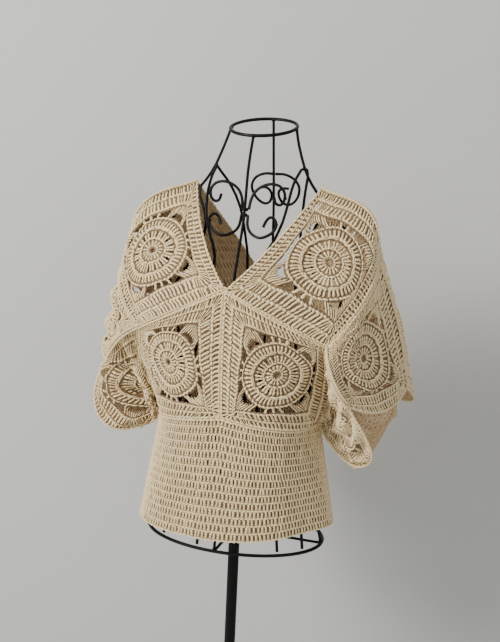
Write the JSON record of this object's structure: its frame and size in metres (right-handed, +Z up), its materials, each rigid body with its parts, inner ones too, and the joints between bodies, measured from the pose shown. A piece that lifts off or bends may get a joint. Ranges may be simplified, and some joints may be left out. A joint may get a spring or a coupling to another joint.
{
  "type": "crochet top on wire dress form",
  "caption": "Loose crocheted V-neck top of lacy motif squares with wide sleeves and a flared body, worn on a scrolled wire dress form with a pole and round base.",
  "frame": {"origin": "centre of the underside of the form's round base", "axes": "+Z up the pole towards the neck ring, -Y towards the garment's front, +X towards the garment's side on the right as seen from the front"},
  "size_m": [0.5004, 0.2927, 1.3274],
  "materials": {
    "crochet_cotton": "matte cotton yarn",
    "painted_wire": "satin black paint"
  },
  "bodies": {
    "root": {"front_chest_left": "crochet_cotton", "front_chest_right": "crochet_cotton", "front_shoulder_left": "crochet_cotton", "front_shoulder_right": "crochet_cotton", "front_sleeve_left": "crochet_cotton", "front_sleeve_right": "crochet_cotton", "front_underarm_left": "crochet_cotton", "front_underarm_right": "crochet_cotton", "back_chest_left": "crochet_cotton", "back_chest_right": "crochet_cotton", "back_shoulder_left": "crochet_cotton", "back_shoulder_right": "crochet_cotton", "back_sleeve_left": "crochet_cotton", "back_sleeve_right": "crochet_cotton", "back_underarm_left": "crochet_cotton", "back_underarm_right": "crochet_cotton", "body_tube": "crochet_cotton", "arm_wire_left": "painted_wire", "arm_wire_right": "painted_wire", "blade_wire_left": "painted_wire", "blade_wire_right": "painted_wire", "branch_wire_left": "painted_wire", "branch_wire_right": "painted_wire", "flank_wire_left": "painted_wire", "flank_wire_right": "painted_wire", "side_wire_left": "painted_wire", "side_wire_right": "painted_wire", "split_wire_left": "painted_wire", "split_wire_right": "painted_wire", "upper_scroll_left": "painted_wire", "upper_scroll_right": "painted_wire", "lower_scroll_left": "painted_wire", "lower_scroll_right": "painted_wire", "back_scroll_left": "painted_wire", "back_scroll_right": "painted_wire", "front_wire": "painted_wire", "back_wire": "painted_wire", "neck_ring": "painted_wire", "hip_ring": "painted_wire", "spoke_front": "painted_wire", "spoke_back": "painted_wire", "spoke_left": "painted_wire", "spoke_right": "painted_wire", "pole": "painted_wire", "base": "painted_wire", "base_collar": "painted_wire"}
  },
  "joints": []
}
